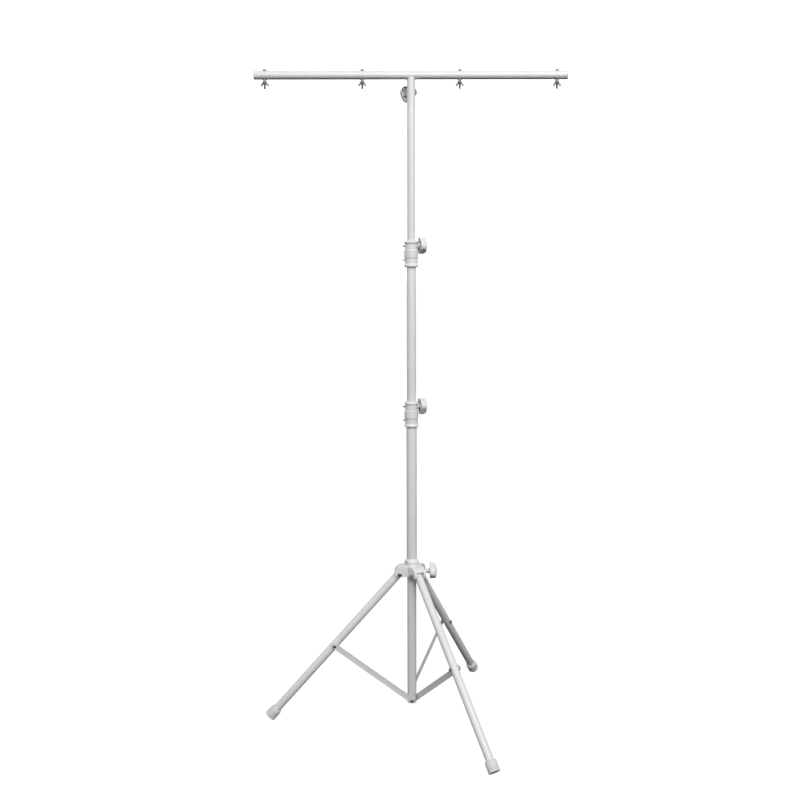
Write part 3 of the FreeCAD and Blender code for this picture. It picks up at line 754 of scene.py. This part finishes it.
def bar():
    """Horizontal tube with its end caps."""
    centre, _ = bar_line()
    start, end, inner, outer = span("t_bar_tube", centre, (1, 0, 0))
    piece("t_bar_tube", [sleeve(inner, outer, start, end, place(centre, (1, 0, 0)), lip=0.3 * MM)])
    caps = []
    for way in (-1, 1):
        reach = span("t_bar_end_caps", centre, (way, 0, 0))[1]
        cap = [(1.0 * MM, end - CAP_PLUG, 0), (inner - 0.2 * MM, end - CAP_PLUG, 1.0 * MM),
               (inner - 0.2 * MM, end, 0), (outer - 0.2 * MM, end, 0.3 * MM),
               (outer - 0.2 * MM, reach - 1.8 * MM, 1.6 * MM),
               (outer - 3.5 * MM, reach - 0.5 * MM, 2.0 * MM), (outer * 0.4, reach, 1.0 * MM),
               (1.0 * MM, reach, 0)]
        caps.append(turned(cap, place(centre, (way, 0, 0))))
    piece("t_bar_end_caps", caps)


def saddle(radius, lift=0.0):
    """Height below the bar's axis at which an upright tube of some radius meets the bar, by angle."""
    _, bar_radius = bar_line()
    reach = bar_radius + lift
    return lambda angle: -math.sqrt(max(0.0, reach ** 2 - (radius * math.sin(angle)) ** 2))


def stub():
    """Socket tube coped to the underside of the bar, with its weld bead."""
    centre, _ = bar_line()
    start, _, inner, outer = span("t_bar_stub")
    base = start - centre.z
    top = saddle(outer)
    rings = []
    for radius, rise in ((inner, 0.4 * MM), (inner + 0.4 * MM, 0), (outer - 0.4 * MM, 0), (outer, 0.4 * MM)):
        rings.append(ring(radius, base + rise, STUB_AROUND))
    for t in (0.4, 0.75, 0.9, 1.0):
        rings.append(ring(outer, lambda angle: base + (top(angle) - base) * t + 0.3 * MM * t, STUB_AROUND))
    inside = saddle(inner)
    rings.append(ring(inner, lambda angle: inside(angle) + 0.3 * MM, STUB_AROUND))
    matrix = place((centre.x, centre.y, centre.z), UP, (1, 0, 0))
    tube = loft(rings, matrix, closed=True)
    piece("t_bar_stub", [tube, weld(outer, matrix)])


def weld(radius, matrix):
    """Rippled weld bead round the coped end of the stub."""
    rings = []
    for section in range(WELD_SECTION):
        turn = 2 * math.pi * section / WELD_SECTION
        reach = [WELD_RADIUS * (1 + 0.14 * math.sin(angle * WELD_RIPPLES + math.cos(turn)))
                 for angle in (2 * math.pi * step / STUB_AROUND for step in range(STUB_AROUND))]
        points = []
        for step in range(STUB_AROUND):
            angle = 2 * math.pi * step / STUB_AROUND
            across = radius + 0.2 * MM + reach[step] * math.cos(turn)
            height = saddle(radius)(angle) - 0.2 * MM + reach[step] * math.sin(turn)
            points.append((across * math.cos(angle), across * math.sin(angle), height))
        rings.append(points)
    return loft(rings, matrix, closed=True)


def stub_boss():
    """Weld nut of the T-bar clamp."""
    origin, axis = pivot("t_bar_clamp_turn")
    origin = Vector((0, 0, origin.z))
    _, end, inner, outer = span("t_bar_boss", origin, axis)
    start = span("t_bar_stub")[3] - 4.5 * MM
    outline = [(inner, start, 0), (outer + 1.2 * MM, start, 0), (outer + 0.2 * MM, start + 5.5 * MM, 2 * MM),
               (outer, end, 1.0 * MM), (inner, end, 0.4 * MM)]
    piece("t_bar_boss", [turned(outline, place(origin, axis), closed=True)])


def bolt_places():
    """X of each lamp bolt, from the wing nut joints."""
    return [pivot("wing_nut_%d_turn" % number)[0].x for number in WING_NUTS]


def lamp_bolts():
    """Lamp bolts through the bar, with their washers and fixed nuts."""
    centre, bar_radius = bar_line()
    lowest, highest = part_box("t_bar_bolts")
    nut_low, nut_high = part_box("t_bar_nuts")
    bolts = []
    nuts = []
    washers = []
    for x in bolt_places():
        matrix = place((x, centre.y, lowest.z), UP, (1, 0, 0))
        length = highest.z - lowest.z
        threaded = centre.z - bar_radius - lowest.z
        bolts.append(hex_bolt(matrix, length, M8_RADIUS, M8_FLATS, M8_HEAD, threaded, M8_PITCH))
        nuts.append(hex_nut(matrix, nut_low.z - lowest.z, nut_high.z - nut_low.z, M8_RADIUS, M8_FLATS))
        for seat in (nut_high.z, centre.z + bar_radius):
            low = seat - lowest.z
            outline = [(M8_RADIUS, low, 0.2 * MM), (WASHER_RADIUS, low, 0.6 * MM),
                       (WASHER_RADIUS, low + WASHER, 0.6 * MM), (M8_RADIUS, low + WASHER, 0.2 * MM)]
            washers.append(turned(outline, matrix, closed=True))
    piece("t_bar_bolts", bolts)
    piece("t_bar_nuts", nuts)
    piece("t_bar_washers", washers)


def wing_nuts():
    """Cast wing nuts, with their wings down and outwards."""
    for number in WING_NUTS:
        node = "wing_nut_%d" % number
        lowest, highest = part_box(node)
        x = pivot("wing_nut_%d_turn" % number)[0].x
        height = highest.z - lowest.z
        reach = (highest.x - lowest.x) / 2
        boss = [(1.0 * MM, 0, 0), (WING_BOSS_TOP, 0, 0.8 * MM), (WING_BOSS_TOP, -2 * MM, 1.0 * MM),
                (WING_BOSS_WAIST, -WING_BOSS_HEIGHT, 1.2 * MM), (1.0 * MM, -WING_BOSS_HEIGHT, 0)]
        solids = [turned(boss)]
        for way in (-1, 1):
            solids.append(wing(way, reach, height))
        points, faces = cast(joined(solids), WING_VOXEL, WING_PASSES)
        matrix = place((x, (lowest.y + highest.y) / 2, highest.z), UP, (1, 0, 0))
        nut = piece(node, [moved((points, faces), matrix)], sharp=60)
        # The wing nuts take the darker copy of the zinc, as painted shade.
        nut.data.materials[0] = finishes["shaded_wing_zinc"]


def wing(way, reach, height):
    """One wing: oval sections from the boss out to a rounded paddle, closed by a near point at its tip."""
    path = [(4.6 * MM, -2.8 * MM, 3.6, 2.0), (7.4 * MM, -5.8 * MM, 4.1, 1.8),
            (9.8 * MM, -9.2 * MM, 4.5, 1.6), (reach - 5.0 * MM, 5.6 * MM - height, 4.7, 1.5),
            (reach - 4.0 * MM, 3.6 * MM - height, 4.2, 1.3), (reach - 3.4 * MM, 2.2 * MM - height, 2.6, 0.8)]
    slope = Vector((0.5, 0, -0.87))
    wide = Vector((0.87, 0, 0.5))
    rings = []
    for x, z, half_width, half_thick in path:
        points = []
        for step in range(WING_AROUND):
            angle = 2 * math.pi * step / WING_AROUND
            spot = Vector((x, 0, z)) + wide * half_width * MM * math.cos(angle)
            spot.y += half_thick * MM * math.sin(angle)
            points.append((way * spot.x, spot.y, spot.z))
        rings.append(points)
    end = Vector((path[-1][0], 0, path[-1][1])) + slope * 0.6 * MM
    rings.append([(way * end.x, end.y, end.z + 0.01 * MM * step) for step in range(WING_AROUND)])
    return loft(rings)


def strut_plug():
    """Domed plug in the foot of the centre strut."""
    start, end, _, outer = span("strut_end_plug")
    outline = [(1.0 * MM, start + 0.5 * MM, 0), (outer * 0.7, start + 0.2 * MM, 2.0 * MM),
               (outer, start + 1.2 * MM, 0.8 * MM), (outer, end, 0.5 * MM), (1.0 * MM, end, 0)]
    piece("strut_end_plug", [turned(outline)])


# ---- finishes --------------------------------------------------------------------------------------
COAT_GRAIN = 1100.0
CAST_GRAIN = COAT_GRAIN * 0.7
BARE_METAL = (0.42, 0.42, 0.43, 1.0)


class Finish:
    """A procedural material: a principled shader fed by noise in the frame's own coordinates."""

    def __init__(self, name):
        self.material = bpy.data.materials.new(name)
        self.material.use_nodes = True
        self.tree = self.material.node_tree
        self.shader = self.tree.nodes["Principled BSDF"]
        self.coordinates = self.tree.nodes.new("ShaderNodeTexCoord").outputs["Object"]

    def node(self, kind, inputs=(), **settings):
        """A new node with some settings, and inputs as numbers or links."""
        made = self.tree.nodes.new(kind)
        for key, value in settings.items():
            setattr(made, key, value)
        for socket, value in dict(inputs).items():
            if isinstance(value, bpy.types.NodeSocket):
                self.tree.links.new(value, made.inputs[socket])
            else:
                made.inputs[socket].default_value = value
        return made

    def noise(self, scale, detail=3.0, stretch=None):
        """Noise of a size in the frame's coordinates, stretched along an axis if asked."""
        vector = self.coordinates
        if stretch is not None:
            vector = self.node("ShaderNodeMapping", {"Vector": vector, "Scale": stretch}).outputs[0]
        made = self.node("ShaderNodeTexNoise", {"Vector": vector, "Scale": scale, "Detail": detail})
        return made.outputs["Fac"]

    def mapped(self, value, low, high, start=0.3, end=0.7):
        """A value from start to end turned into one from low to high."""
        made = self.node("ShaderNodeMapRange", {"Value": value, "From Min": start, "From Max": end,
                                                "To Min": low, "To Max": high})
        return made.outputs[0]

    def mixed(self, amount, first, second):
        """Colour between two colours, by a value."""
        made = self.node("ShaderNodeMix", data_type="RGBA")
        for socket, value in ((made.inputs[0], amount), (made.inputs[6], first), (made.inputs[7], second)):
            if isinstance(value, bpy.types.NodeSocket):
                self.tree.links.new(value, socket)
            else:
                socket.default_value = value
        return made.outputs[2]

    def times(self, first, second):
        """Product of two values."""
        made = self.node("ShaderNodeMath", {0: first, 1: second}, operation="MULTIPLY")
        return made.outputs[0]

    def bump(self, height, distance, strength, under=None):
        """Bump from a height value, on top of another bump."""
        inputs = {"Height": height, "Distance": distance, "Strength": strength}
        if under is not None:
            inputs["Normal"] = under
        return self.node("ShaderNodeBump", inputs).outputs[0]

    def edges(self, low, high):
        """1 on outward edges, 0 elsewhere."""
        pointiness = self.node("ShaderNodeNewGeometry").outputs["Pointiness"]
        return self.mapped(pointiness, 0.0, 1.0, low, high)

    def link(self, value, socket):
        """Feed the shader, with a link or a constant."""
        if isinstance(value, bpy.types.NodeSocket):
            self.tree.links.new(value, self.shader.inputs[socket])
        else:
            self.shader.inputs[socket].default_value = value


def shade(colour, factor):
    """A colour made darker or lighter, as four numbers."""
    return (colour[0] * factor, colour[1] * factor, colour[2] * factor, 1.0)


def paint(name, colour, roughness, grain, peel, wear):
    """Powder coat or enamel: faint mottling, fine orange peel, painted shade in corners and thin paint on edges.
    """
    finish = Finish(name)
    cloud = finish.mapped(finish.noise(9.0, 4.0), 0.0, 1.0)
    speck = finish.mapped(finish.noise(grain * 0.8, 2.0), 0.0, 1.0, 0.35, 0.65)
    base = finish.mixed(cloud, shade(colour, 0.965), shade(colour, 1.02))
    base = finish.mixed(finish.times(speck, 0.10), base, shade(colour, 0.90))
    # Painted shade: concave places are darkened towards 0.62 of the paint colour.
    hollow_shade = finish.edges(0.495, 0.44)
    base = finish.mixed(finish.times(hollow_shade, 0.45), base, shade(colour, 0.62))
    patchy = finish.mapped(finish.noise(160.0, 3.0), 0.0, 1.0, 0.45, 0.62)
    worn = finish.times(finish.times(finish.edges(0.53, 0.60), patchy), wear)
    base = finish.mixed(worn, base, BARE_METAL)
    finish.link(base, "Base Color")
    scuffs = finish.noise(38.0, 5.0, (1.0, 1.0, 0.35))
    rough = finish.mapped(scuffs, roughness - 0.07, roughness + 0.09)
    finish.link(rough, "Roughness")
    finish.link(finish.bump(finish.noise(grain, 2.0), peel, 0.5,
                            finish.bump(finish.noise(70.0, 2.0), 0.12 * MM, 0.25)), "Normal")
    finish.link(0.25, "Coat Weight")
    finish.link(0.28, "Coat Roughness")
    return finish.material


def moulding(name, colour, roughness, grain, depth, painted_shade):
    """Moulded plastic or rubber: fine spark-eroded grain, flow marks, painted shade in hollows and lighter rubbed
    edges.
    """
    finish = Finish(name)
    flow = finish.mapped(finish.noise(55.0, 3.0, (1.0, 1.0, 0.5)), 0.0, 1.0)
    base = finish.mixed(flow, shade(colour, 0.95), shade(colour, 1.03))
    # Painted shade: concave places are darkened towards 0.55 of the colour, as strongly as the last argument says.
    hollow_shade = finish.edges(0.495, 0.43)
    base = finish.mixed(finish.times(hollow_shade, painted_shade), base, shade(colour, 0.55))
    rubbed = finish.times(finish.edges(0.54, 0.62), finish.mapped(finish.noise(240.0), 0.0, 1.0, 0.4, 0.6))
    base = finish.mixed(finish.times(rubbed, 0.3), base, shade(colour, 1.15))
    finish.link(base, "Base Color")
    finish.link(finish.mapped(finish.noise(120.0, 4.0), roughness - 0.06, roughness + 0.1), "Roughness")
    finish.link(finish.bump(finish.noise(grain, 3.0), depth, 0.6), "Normal")
    finish.link(0.35, "Specular IOR Level")
    return finish.material


def plating(name, colour, roughness, tint):
    """Plated or bare metal: cloudy tint, fine scratches, a painted highlight on edges, painted shade in thread
    roots and hollows.
    """
    finish = Finish(name)
    cloud = finish.mapped(finish.noise(130.0, 4.0), 0.0, 1.0)
    base = finish.mixed(cloud, shade(colour, 0.93), (tint[0], tint[1], tint[2], 1.0))
    # Painted shade: thread roots and other concave places are darkened towards 0.35 of the colour.
    hollow_shade = finish.edges(0.49, 0.42)
    base = finish.mixed(finish.times(hollow_shade, 0.6), base, shade(colour, 0.35))
    # Painted highlight: outward edges are lightened to 1.15 of the colour.
    edge_highlight = finish.edges(0.53, 0.60)
    base = finish.mixed(finish.times(edge_highlight, 0.4), base, shade(colour, 1.15))
    finish.link(base, "Base Color")
    finish.link(0.9, "Metallic")
    scratch = finish.noise(700.0, 3.0, (1.0, 0.12, 1.0))
    finish.link(finish.mapped(scratch, roughness - 0.08, roughness + 0.12), "Roughness")
    finish.link(finish.bump(scratch, 0.03 * MM, 0.4), "Normal")
    return finish.material


def all_finishes():
    """One finish for each material slot of the record, and a darker copy of the zinc for the wing nuts, as painted
    shade.
    """
    colours = {material["slot"]: material["base_color"] for material in record["materials"]}
    return {
        "tube_coat": paint("tube_coat", colours["tube_coat"], 0.36, COAT_GRAIN, 0.04 * MM, 0.25),
        "casting_coat": paint("casting_coat", colours["casting_coat"], 0.42, CAST_GRAIN, 0.07 * MM, 0.5),
        "strap_coat": paint("strap_coat", colours["strap_coat"], 0.40, COAT_GRAIN, 0.05 * MM, 0.5),
        # The last number of each moulding is how strongly its hollows are darkened with painted shade.
        "knob_plastic": moulding("knob_plastic", colours["knob_plastic"], 0.42, 2400.0, 0.05 * MM, 0.6),
        "nylon": moulding("nylon", colours["nylon"], 0.40, 1500.0, 0.03 * MM, 0.4),
        "foot_rubber": moulding("foot_rubber", colours["foot_rubber"], 0.66, 1600.0, 0.10 * MM, 0.7),
        "zinc_steel": plating("zinc_steel", shade(colours["zinc_steel"], 0.6), 0.24, (0.50, 0.51, 0.53)),
        # A darker, rougher copy of the zinc: painted shade for the wing nuts.
        "shaded_wing_zinc": plating("shaded_wing_zinc", shade(colours["zinc_steel"], 0.40), 0.42, (0.33, 0.34, 0.36)),
        "black_steel": plating("black_steel", colours["black_steel"], 0.42, (0.05, 0.05, 0.06)),
        "spigot_alloy": plating("spigot_alloy", colours["spigot_alloy"], 0.34, (0.76, 0.77, 0.78)),
    }


# ---- floor, backdrop and light ---------------------------------------------------------------------
FLOOR_RADII = (0.05, 1.0, 4.0, 60.0)
FLOOR_DROP = -0.0005
FLOOR_GLOW = 0.90
FLOOR_SPREAD = 0.25
DOME_TURNS = (-6, 0, 10, 25, 45, 65, 80, 89)                   # heights of the dome's rings, in degrees
DOME_GLOW = 1.3
SKY = ((0.46, 0.0), (0.54, 1.02), (0.76, 0.74), (1.0, 0.1))    # height in the sky, and brightness there
LIGHT_AIM = 1.2
KEY_AZIMUTH = 12
KEY_ELEVATION = 37
KEY_DISTANCE = 7.0
KEY_SIZE = 5.0
KEY_POWER = 370


def glow(name, brightness, spread=0.0):
    """Plain white material that gives its own light, and takes a soft shadow in its diffuse share."""
    material = bpy.data.materials.new(name)
    material.use_nodes = True
    shader = material.node_tree.nodes["Principled BSDF"]
    shader.inputs["Base Color"].default_value = (spread, spread, spread, 1)
    shader.inputs["Roughness"].default_value = 1.0
    shader.inputs["Specular IOR Level"].default_value = 0.0
    shader.inputs["Emission Color"].default_value = (1, 1, 1, 1)
    shader.inputs["Emission Strength"].default_value = brightness
    return material


def only_seen(shape):
    """Keep a stage object out of everything but the camera's direct view, so it throws no light about."""
    shape.visible_diffuse = False
    shape.visible_glossy = False
    shape.visible_transmission = False
    shape.visible_shadow = False


def add_stage():
    """Round pale floor and a white dome behind it."""
    floor_rings = [ring(radius, FLOOR_DROP) for radius in FLOOR_RADII]
    reach = FLOOR_RADII[-1]
    turns = [math.radians(turn) for turn in DOME_TURNS]
    dome_rings = [ring(reach * math.cos(turn), reach * math.sin(turn)) for turn in turns]
    for name, rings, brightness, spread in (("floor", floor_rings, FLOOR_GLOW, FLOOR_SPREAD),
                                            ("backdrop", dome_rings, DOME_GLOW, 0.0)):
        points, faces = loft(rings)
        mesh = bpy.data.meshes.new(name)
        kept = faces[:-1] if name == "floor" else faces[:-2]
        mesh.from_pydata([tuple(point) for point in points], [], kept)
        mesh.shade_smooth()
        mesh.materials.append(glow(name, brightness, spread))
        shape = bpy.data.objects.new(name, mesh)
        bpy.context.scene.collection.objects.link(shape)
        only_seen(shape)


def add_sky():
    """Soft light from all round the horizon, dim overhead and dark below."""
    world = bpy.data.worlds.new("sky")
    world.use_nodes = True
    tree = world.node_tree
    coordinates = tree.nodes.new("ShaderNodeTexCoord")
    split = tree.nodes.new("ShaderNodeSeparateXYZ")
    shift = tree.nodes.new("ShaderNodeMapRange")
    shift.inputs["From Min"].default_value = -1.0
    ramp = tree.nodes.new("ShaderNodeValToRGB")
    tree.links.new(coordinates.outputs["Generated"], split.inputs[0])
    tree.links.new(split.outputs["Z"], shift.inputs["Value"])
    tree.links.new(shift.outputs[0], ramp.inputs[0])
    tree.links.new(ramp.outputs[0], tree.nodes["Background"].inputs["Color"])
    elements = ramp.color_ramp.elements
    elements.remove(elements[1])
    elements[0].position = 0.0
    elements[0].color = (0, 0, 0, 1)
    for position, level in SKY:
        elements.new(position).color = (level, level, level, 1)
    bpy.context.scene.world = world


def add_light(name, azimuth, elevation, distance, size, power):
    """Square soft light aimed at the middle of the mast. Azimuth 0 is on the camera's side."""
    data = bpy.data.lights.new(name, "AREA")
    data.size = size
    data.energy = power
    light = bpy.data.objects.new(name, data)
    turn = math.radians(azimuth)
    rise = math.radians(elevation)
    aim = Vector((0, 0, LIGHT_AIM))
    away = Vector((math.sin(turn) * math.cos(rise), -math.cos(turn) * math.cos(rise), math.sin(rise)))
    light.location = aim + away * distance
    light.rotation_mode = "QUATERNION"
    light.rotation_quaternion = away.to_track_quat("Z", "Y")
    bpy.context.scene.collection.objects.link(light)


def carry_over():
    """CAD nodes whose shape is right: inner bushes, guides, studs and the spigot."""
    for node, shape in frame["nodes"].items():
        if not shape.hide_render:
            shape.data.materials.clear()
            shape.data.materials.append(finishes[slot_of[node]])


add_camera()
finishes = all_finishes()
upright_tubes()
leg_tubes()
feet()
straps()
strap_fittings()
strut_plug()
hub()
hub_ring()
hinge_bolts()
for collar_name in ("lower", "upper"):
    collar(collar_name)
    collar_screws(collar_name)
for knob_name in KNOB_JOINTS:
    knob(knob_name)
bar()
stub()
stub_boss()
lamp_bolts()
wing_nuts()
carry_over()
add_stage()
add_sky()
add_light("key", KEY_AZIMUTH, KEY_ELEVATION, KEY_DISTANCE, KEY_SIZE, KEY_POWER)
bpy.context.scene.view_settings.view_transform = "Standard"
